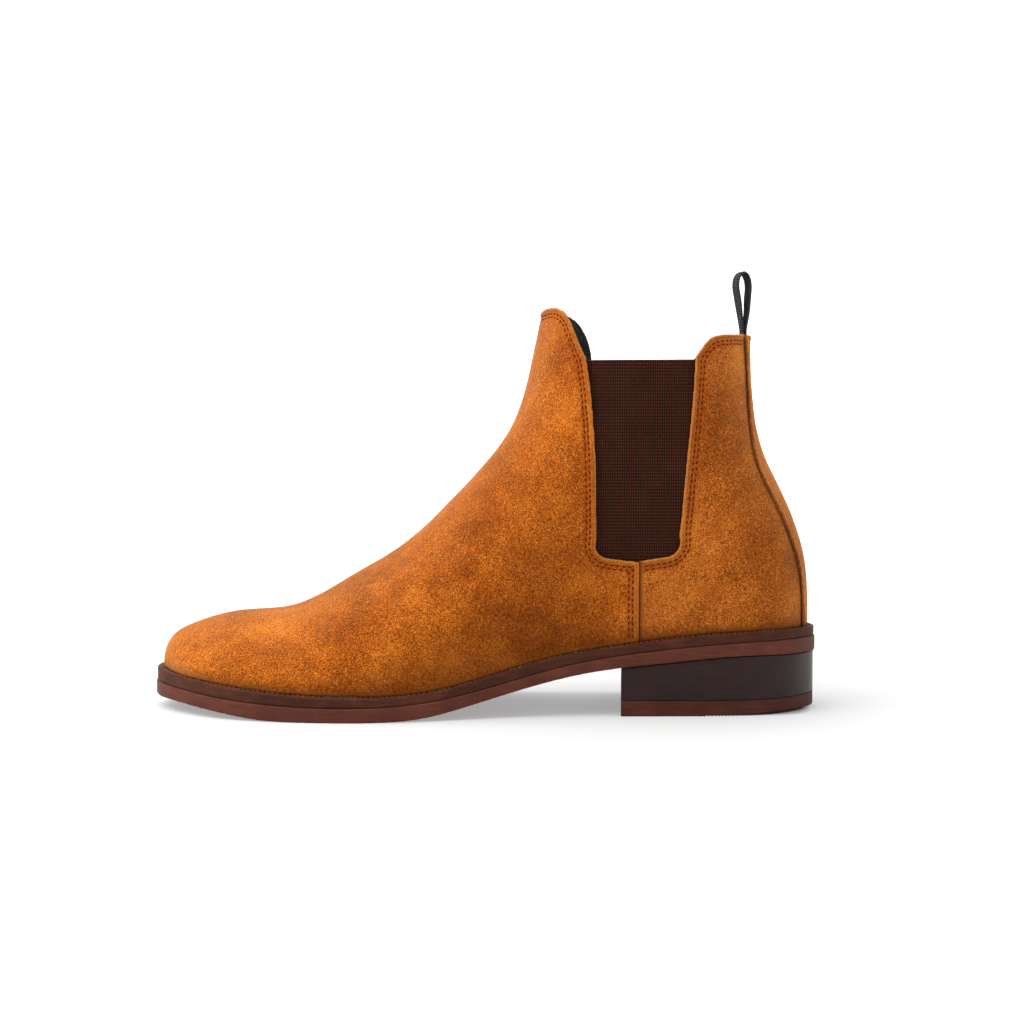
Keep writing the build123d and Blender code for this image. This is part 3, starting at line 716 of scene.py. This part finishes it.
# Back stay: a lighter copy of the suede as painted highlight where the stay catches the light, with a dark rim
# that is its raw edge plus painted shadow.
SUEDE_STAY = suede(
    "suede_tan_stay", linear(100, 44, 3), linear(170, 85, 17), linear(228, 137, 54), linear(50, 22, 6),
    STITCHED, linear(40, 16, 2)
)
THREAD = thread_material("thread_brown", linear(58, 18, 3), linear(112, 44, 10))

QUARTER_CLEAR = clear_of((WELT, 1.3 * MM), (VAMP, 1.6 * MM), (STAY, 1.2 * MM))
PANELS = {
    "vamp": (SUEDE, "suede", clear_of((WELT, 1.3 * MM)), 0.62 * MM, [WELT]),
    "quarter_lateral": (SUEDE_QUARTER, "suede_quarter", QUARTER_CLEAR, 0.55 * MM, [WELT, VAMP]),
    "quarter_medial": (SUEDE_QUARTER, "suede_quarter", QUARTER_CLEAR, 0.55 * MM, [WELT, VAMP]),
    "back_stay": (SUEDE_STAY, "suede_quarter", clear_of((WELT, 1.3 * MM)), 0.45 * MM, [WELT]),
}

for seed, (node, (material, slot, keep, voxel, neighbours)) in enumerate(PANELS.items()):
    skin = Skin(node)
    piece = remeshed(node, "soft_" + node, voxel, 4)
    sewn = node != "back_stay"
    lines = [run for row in sewing_rows(skin, keep) for run in runs(row)] if sewn else []
    press_grooves(piece, lines)
    roll_edges(piece, skin, keep)
    ruffle(piece, 0.22 * MM, 0.05 * MM, 3.1 + seed)
    rim_mask(piece, [skin], 2.4 * MM if sewn else 1.7 * MM)
    wall_mask(piece, skin, 0.35 * MM, 0.4 * MM)
    # Painted shade along the neighbouring panels and the welt.
    shade_masks(piece, neighbours, 1.3 * MM if node == "vamp" else 2.6 * MM)
    paint(piece, material)
    if lines:
        surface = tree_of(piece)
        stitches = sew("stitches_" + node, lines, surface)
        paint(stitches, THREAD)

# Elastic: rows of yarn every 1.4 mm stand out across the gore.
ELASTIC = elastic()
RIB_PITCH = 1.4 * MM
RIB_HEIGHT = 0.12 * MM
for node in ("gore_lateral", "gore_medial"):
    skin = Skin(node)
    piece = remeshed(node, "soft_" + node, 0.34 * MM, 3)
    points = coordinates(piece)
    out = normals(piece)
    low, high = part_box(node)
    face = np.clip(np.abs(out[:, 1]) * 2 - 1, 0, 1)
    wave = RIB_HEIGHT * (np.cos(2 * math.pi * (points[:, 2] - low.z) / RIB_PITCH) * 0.5 - 0.5)
    height = (points[:, 2] - low.z) / (high.z - low.z)
    bulge = 0.35 * MM * np.sin(math.pi * np.clip(height, 0, 1))
    side = math.copysign(1.0, (low.y + high.y) / 2)
    points = points + out * (wave * face)[:, None]
    points[:, 1] += side * bulge
    points[:, 2] -= 1.3 * MM * np.clip((points[:, 2] - high.z) / (4 * MM) + 1, 0, 1)
    set_coordinates(piece, points)
    high.z -= 1.3 * MM
    set_mask(piece, "rib", np.cos(2 * math.pi * (points[:, 2] - low.z) / RIB_PITCH) * 0.5 + 0.5)
    set_mask(piece, "rim", np.clip((points[:, 2] - high.z) / (0.7 * MM) + 1, 0, 1))
    paint(piece, ELASTIC)

# ------------------------------------------------------------------ lining and foot bed
LINING = lining_cloth()
for node in ("vamp_lining", "quarter_lining_lateral", "quarter_lining_medial"):
    piece = remeshed(node, "soft_" + node, 0.62 * MM, 2, 0.2 * MM)
    paint(piece, LINING)
for node in ("sock_liner", "heel_grip"):
    piece = remeshed(node, "soft_" + node, 0.6 * MM, 2, 0.1 * MM)
    paint(piece, LINING)

# ------------------------------------------------------------------ sole and heel
WELT_LEATHER = rubber(
    "welt_brown", linear(46, 22, 12), linear(68, 34, 21), linear(98, 54, 34), 0.6, 0.12
)
OUTSOLE_RUBBER = rubber(
    "outsole_brown", linear(70, 34, 24), linear(89, 46, 34), linear(110, 62, 48), 0.55, 0.12
)
HEEL_RUBBER = rubber(
    "heel_brown", linear(27, 12, 11), linear(38, 19, 17), linear(52, 29, 26), 0.3, 0.2
)
TOP_RUBBER = rubber(
    "top_piece_brown", linear(58, 26, 19), linear(74, 37, 27), linear(94, 53, 40), 0.55, 0.12
)


def tread(piece, start, end, pitch, depth, border):
    """Cross ribs moulded into a sole's underside, inside a plain border."""
    points = coordinates(piece)
    down = normals(piece)[:, 2] < -0.6
    near = distances(points[down], points[~down & (points[:, 0] > start - 0.02)])
    share = np.clip((near - border) / (1.5 * MM), 0, 1)
    x = points[down, 0]
    share *= np.clip((x - start) / (3 * MM), 0, 1) * np.clip((end - x) / (3 * MM), 0, 1)
    wave = 0.5 - 0.5 * np.clip(1.6 * np.cos(2 * math.pi * x / pitch), -1, 1)
    points[down, 2] += depth * wave * share
    set_coordinates(piece, points)


def toothed(piece, start, end, pitch, depth, reach):
    """Cross grooves that cut through to the edge of a piece's underside."""
    points = coordinates(piece)
    stations = np.arange(points[:, 0].min(), points[:, 0].max() + MM, MM)
    column = np.clip(((points[:, 0] - stations[0]) / MM).astype(int), 0, len(stations) - 1)
    lowest = np.full(len(stations), np.inf)
    np.minimum.at(lowest, column, points[:, 2])
    filled = np.isfinite(lowest)
    under = np.interp(points[:, 0], stations[filled] + MM / 2, lowest[filled])
    wave = np.clip(0.5 + 1.1 * np.cos(2 * math.pi * (points[:, 0] - start) / pitch), 0, 1)
    wave *= (points[:, 0] > start) & (points[:, 0] < end)
    squeeze = np.clip(1 - (points[:, 2] - under) / reach, 0, 1)
    points[:, 2] += depth * wave * squeeze
    set_coordinates(piece, points)


piece = remeshed("welt", "soft_welt", 0.42 * MM, 1)
paint(piece, WELT_LEATHER)
piece = remeshed("outsole", "soft_outsole", 0.55 * MM, 1)
tread(piece, 18 * MM, 136 * MM, 3.4 * MM, 0.9 * MM, 3.0 * MM)
paint(piece, OUTSOLE_RUBBER)
piece = remeshed("heel_block", "soft_heel_block", 0.5 * MM, 1)
paint(piece, HEEL_RUBBER)
top_low, top_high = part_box("heel_top_piece")
piece = remeshed("heel_top_piece", "soft_heel_top_piece", 0.26 * MM, 1)
toothed(piece, top_low.x + 8 * MM, top_low.x + 52 * MM, 1.56 * MM, 0.9 * MM, 1.8 * MM)
paint(piece, TOP_RUBBER)


# Welt stitching: a row on the ledge, close to the upper all the way round.
def ledge_row(inset, spacing):
    """Places on the welt's ledge, a little outside the upper."""
    bm = welded("welt")
    tops = [region for region in smooth_regions(bm)
            if sum(f.normal.z * f.calc_area() for f in region) > 0.6 * sum(f.calc_area() for f in region)]
    outline = rim_loops(bm, {face.index for face in tops[0]})
    outer = max(outline, key=lambda loop: max(p.x for p, _ in loop) - min(p.x for p, _ in loop))
    places = resampled([p for p, _ in outer], spacing)
    bm.free()
    uppers = [VAMP, STAY] + [tree_of(frame["nodes"][n]) for n in ("quarter_lateral", "quarter_medial")]
    row = []
    count = len(places)
    for i, place in enumerate(places):
        along = Vector(places[(i + 3) % count] - places[(i - 3) % count])
        inward = Vector((-along.y, along.x, 0)).normalized()
        if inward.dot(Vector((min(max(place[0], -0.09), 0.09), 0, 0)) - Vector((place[0], place[1], 0))) < 0:
            inward = -inward
        start = Vector(place) + Vector((0, 0, 0.9 * MM))
        hits = [tree.ray_cast(start, inward, 12 * MM)[3] for tree in uppers]
        reach = min([hit for hit in hits if hit is not None], default=4 * MM)
        spot = Vector(place) + inward * max(reach - inset, 0.4 * MM)
        spot, normal, _, _ = WELT.find_nearest(spot)
        row.append((spot, normal))
    return row + row[:1]


WELT_THREAD = thread_material("thread_welt", linear(84, 48, 30), linear(150, 96, 62))
row = ledge_row(0.95 * MM, 0.8 * MM)
stitches = sew("stitches_welt", [row], WELT, WELT_PITCH, 1.7 * MM, 0.3 * MM)
paint(stitches, WELT_THREAD)

# ------------------------------------------------------------------ pull tab
joint = next(j for j in frame["record"]["behaviour"]["joints"] if j["name"] == "pull_tab_fold")
tab_low, tab_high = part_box("pull_tab")
ACROSS = Vector(joint["axis"]).normalized()
AHEAD = ACROSS.cross(Vector((0, 0, 1))).normalized()
HINGE = Vector(joint["pos_m"])
spread = np.array([[abs(AHEAD.x), abs(ACROSS.x)], [abs(AHEAD.y), abs(ACROSS.y)]])
TAB_SPAN, TAB_WIDTH = np.linalg.solve(spread, [tab_high.x - tab_low.x, tab_high.y - tab_low.y])
TAB_THICK = 0.96 * MM
TAB_TWIST = math.radians(11)
WEAVE_PITCH = 1.3 * MM
TWILL_HEIGHT = 0.2 * MM


def tab_line():
    """Middle line of the webbing: up from the seam, round the loop and down again."""
    top = tab_high.z - TAB_THICK / 2
    half = 0.95 * TAB_SPAN / 2 - TAB_THICK / 2
    foot = 0.62 * MM
    side = [
        (foot, HINGE.z - 4.5 * MM), (foot, HINGE.z - 2 * MM), (foot, HINGE.z + 0.6 * MM),
        (foot + (half - foot) * 0.42, top - 18.4 * MM), (half * 0.8, top - 11.5 * MM), (half, top - 6.2 * MM),
        (half * 0.86, top - 2.9 * MM), (half * 0.46, top - 0.7 * MM),
    ]
    knots = [(-x, z) for x, z in side] + [(0.0, top)] + [(x, z) for x, z in reversed(side)]
    knots = np.array(knots)
    knots[:, 0] -= 0.7 * MM * np.clip((top - 4 * MM - knots[:, 1]) / (14 * MM), 0, 1)
    places = np.concatenate([[0], np.cumsum(np.linalg.norm(np.diff(knots, axis=0), axis=1) ** 0.5)])
    slopes = np.gradient(knots, places, axis=0)
    line = []
    for k in range(len(knots) - 1):
        span = places[k + 1] - places[k]
        for u in np.linspace(0, 1, 40, endpoint=False):
            a, b = 2 * u ** 3 - 3 * u ** 2 + 1, u ** 3 - 2 * u ** 2 + u
            c, d = -2 * u ** 3 + 3 * u ** 2, u ** 3 - u ** 2
            line.append(a * knots[k] + b * span * slopes[k] + c * knots[k + 1] + d * span * slopes[k + 1])
    line.append(knots[-1])
    return resampled([(x, 0, z) for x, z in line], 0.12 * MM, closed=False)


def herringbone(s, w):
    """Height of the twill at a place along and across the webbing."""
    column = 2.0 * MM
    fold = abs((w / column) % 2.0 - 1.0) * column
    return TWILL_HEIGHT * (0.5 + 0.5 * math.cos(2 * math.pi * (s + fold * 0.9) / WEAVE_PITCH))


def tab_axes(height):
    """Directions across and ahead of the webbing, which untwists towards its foot."""
    share = min(max((height - HINGE.z) / (16 * MM), 0.0), 1.0)
    turn = Matrix.Rotation(-TAB_TWIST * (1 - 0.85 * share * share * (3 - 2 * share)), 3, "Z")
    return turn @ ACROSS, turn @ AHEAD


def webbing_strip(name, line):
    """Webbing with round selvedges and a woven twill face, along a line in the tab's own plane."""
    steps = 30
    rim_steps = 8
    half = TAB_WIDTH / 2
    profile = [(w, 1) for w in np.linspace(-1, 1, steps)]
    profile += [(1 + k / rim_steps, 0) for k in range(1, rim_steps)]
    profile += [(w, -1) for w in np.linspace(1, -1, steps)]
    profile += [(-1 - k / rim_steps, 0) for k in range(1, rim_steps)]
    verts, faces, twill = [], [], []
    travelled = 0.0
    count = len(line)
    for i in range(count):
        here = line[i]
        ahead = line[min(i + 1, count - 1)] - line[max(i - 1, 0)]
        ahead = ahead / np.linalg.norm(ahead)
        face = np.array([-ahead[2], 0, ahead[0]])
        if i:
            travelled += np.linalg.norm(line[i] - line[i - 1])
        selvedge = 0.16 * MM * math.cos(2 * math.pi * travelled / WEAVE_PITCH)
        sideways, ahead_here = tab_axes(float(here[2]))
        for w, kind in profile:
            if kind:
                across = w * (half - TAB_THICK / 2)
                raised = herringbone(travelled, across)
                lift = kind * (TAB_THICK / 2 - 0.08 * MM + raised)
                twill.append(raised / TWILL_HEIGHT)
            else:
                twill.append(selvedge / (0.32 * MM) + 0.5)
                turn = math.pi * (abs(w) - 1)
                side = math.copysign(1, w)
                across = side * (half - TAB_THICK / 2 + math.sin(turn) * (TAB_THICK / 2 + selvedge))
                lift = side * math.cos(turn) * TAB_THICK / 2
            spot = HINGE + ahead_here * float(here[0] + face[0] * lift) + sideways * across
            spot.z = float(here[2] + face[2] * lift)
            verts.append(spot)
    ring = len(profile)
    for i in range(count - 1):
        for k in range(ring):
            a = i * ring + k
            b = i * ring + (k + 1) % ring
            faces.append((a, b, b + ring, a + ring))
    faces.append(tuple(reversed(range(ring))))
    faces.append(tuple((count - 1) * ring + k for k in range(ring)))
    strip = new_piece(name, verts, faces, TAB_BODY)
    set_mask(strip, "twill", np.array(twill))
    return strip


WEBBING = webbing()
piece = webbing_strip("pull_tab_webbing", tab_line())
piece.parent = None
del piece["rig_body"]
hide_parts("pull_tab")
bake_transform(piece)
paint(piece, WEBBING)

# ------------------------------------------------------------------ hidden parts keep their CAD meshes
HIDDEN = {
    "toe_puff": grained("stiffener_cream", linear(206, 196, 172), linear(232, 224, 204), 300),
    "heel_counter": grained("counter_cream", linear(206, 196, 172), linear(232, 224, 204), 300),
    "vamp_interlining": grained("interlining_white", linear(214, 208, 196), linear(238, 234, 226), 500),
    "insole_board": grained("board_brown", linear(150, 118, 82), linear(188, 156, 116), 260),
    "cork_filler": grained("cork_brown", linear(120, 76, 40), linear(190, 140, 92), 220),
    "heel_pad": grained("foam_grey", linear(170, 170, 166), linear(206, 206, 202), 700),
    "steel_shank": grained("steel_rolled", linear(150, 150, 154), linear(200, 200, 204), 120, 0.35, 1.0),
    "heel_nails": grained("steel_nails", linear(140, 140, 144), linear(190, 190, 194), 200, 0.35, 1.0),
    "pull_tab_tail": WEBBING,
}
for node, material in HIDDEN.items():
    frame["nodes"][node].data.materials.clear()
    frame["nodes"][node].data.materials.append(material)

# ------------------------------------------------------------------ floor, light and camera
low, high = cad_box
centre = (low + high) / 2


def stage_plane(name, corners):
    """A flat stage piece."""
    mesh = bpy.data.meshes.new(name)
    mesh.from_pydata(corners, [], [(0, 1, 2, 3)])
    plane = bpy.data.objects.new(name, mesh)
    bpy.context.scene.collection.objects.link(plane)
    return plane


# Paper floor: it glows, a painted light that lifts the shadows, so it reads as near white by the boot and as
# pure white farther off.
floor = stage_plane("floor", [(-9, -9, 0), (9, -9, 0), (9, 9, 0), (-9, 9, 0)])
paper = Shader("paper_floor")
paper.colour(paper.ramp(paper.noise(3, 2), (0.3, (0.42, 0.43, 0.43)), (0.7, (0.44, 0.45, 0.45))))
paper.set(Roughness=0.9, Specular_IOR_Level=0.1)
distance = paper.nodes.new("ShaderNodeVectorMath")
distance.operation = "LENGTH"
paper.links.new(paper.place, distance.inputs[0])
fade = paper.nodes.new("ShaderNodeMapRange")
fade.inputs["From Min"].default_value = 0.16
fade.inputs["From Max"].default_value = 0.5
fade.inputs["To Min"].default_value = 0.33
fade.inputs["To Max"].default_value = 0.75
paper.links.new(distance.outputs["Value"], fade.inputs["Value"])
heel_low, heel_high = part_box("heel_top_piece")
split = paper.nodes.new("ShaderNodeSeparateXYZ")
paper.links.new(paper.place, split.inputs[0])


def share_of(socket, start, end):
    """Fourth power of a coordinate's place between the middle and the ends of a stretch."""
    inside = paper.math("DIVIDE", paper.math("SUBTRACT", socket, (start + end) / 2), (end - start) / 2)
    return paper.math("POWER", paper.math("ABSOLUTE", inside), 4.0)


# The glow is cut out under the heel: painted shadow in the gaps of the heel's tread.
under_heel = paper.math(
    "ADD",
    share_of(split.outputs[0], heel_low.x, heel_high.x),
    share_of(split.outputs[1], heel_low.y, heel_high.y),
)
lit = paper.nodes.new("ShaderNodeMapRange")
lit.inputs["From Min"].default_value = 0.55
lit.inputs["From Max"].default_value = 0.85
paper.links.new(under_heel, lit.inputs["Value"])
paper.surface.inputs["Emission Color"].default_value = (1.0, 1.0, 1.0, 1.0)
glow = paper.math("MULTIPLY", fade.outputs[0], lit.outputs[0])
paper.links.new(glow, paper.surface.inputs["Emission Strength"])
floor.data.materials.append(paper.material)

wall = stage_plane("backdrop", [(-9, -4, -1), (9, -4, -1), (9, -4, 8), (-9, -4, 8)])
white = Shader("paper_wall")
white.set(Roughness=0.9, Emission_Strength=1.0)
white.surface.inputs["Emission Color"].default_value = (1.0, 1.0, 1.0, 1.0)
wall.data.materials.append(white.material)

world = bpy.data.worlds.new("studio")
world.use_nodes = True
world.node_tree.nodes["Background"].inputs[0].default_value = (1.0, 1.0, 1.0, 1.0)
world.node_tree.nodes["Background"].inputs[1].default_value = 0.42
bpy.context.scene.world = world


def lamp(name, place, target, size, power):
    """A soft rectangular light."""
    data = bpy.data.lights.new(name, "AREA")
    data.shape = "RECTANGLE"
    data.size, data.size_y = size
    data.energy = power
    item = bpy.data.objects.new(name, data)
    item.location = place
    item.rotation_euler = (Vector(target) - Vector(place)).to_track_quat("-Z", "Y").to_euler()
    bpy.context.scene.collection.objects.link(item)


lamp("overhead", centre + Vector((0.45, 0.1, 1.4)), centre, (1.6, 1.6), 26.5)
lamp("key", centre + Vector((1.4, 0.3, 0.8)), centre, (1.6, 1.6), 22.5)
lamp("rear_fill", centre + Vector((-1.2, 0.9, 0.5)), centre, (1.2, 1.2), 5.0)

camera_data = bpy.data.cameras.new("camera")
camera_data.sensor_width = 36.0
camera_data.lens = 63.6
camera = bpy.data.objects.new("camera", camera_data)
camera.location = (centre.x - 12.3 * MM, centre.y + 823.5 * MM, 139.6 * MM)
aim = Vector((centre.x - 12.3 * MM, 0.0, 88.0 * MM))
camera.rotation_euler = (aim - camera.location).to_track_quat("-Z", "Y").to_euler()
bpy.context.scene.collection.objects.link(camera)
bpy.context.scene.camera = camera
bpy.context.scene.view_settings.view_transform = "Standard"
bpy.context.scene.view_settings.look = "None"
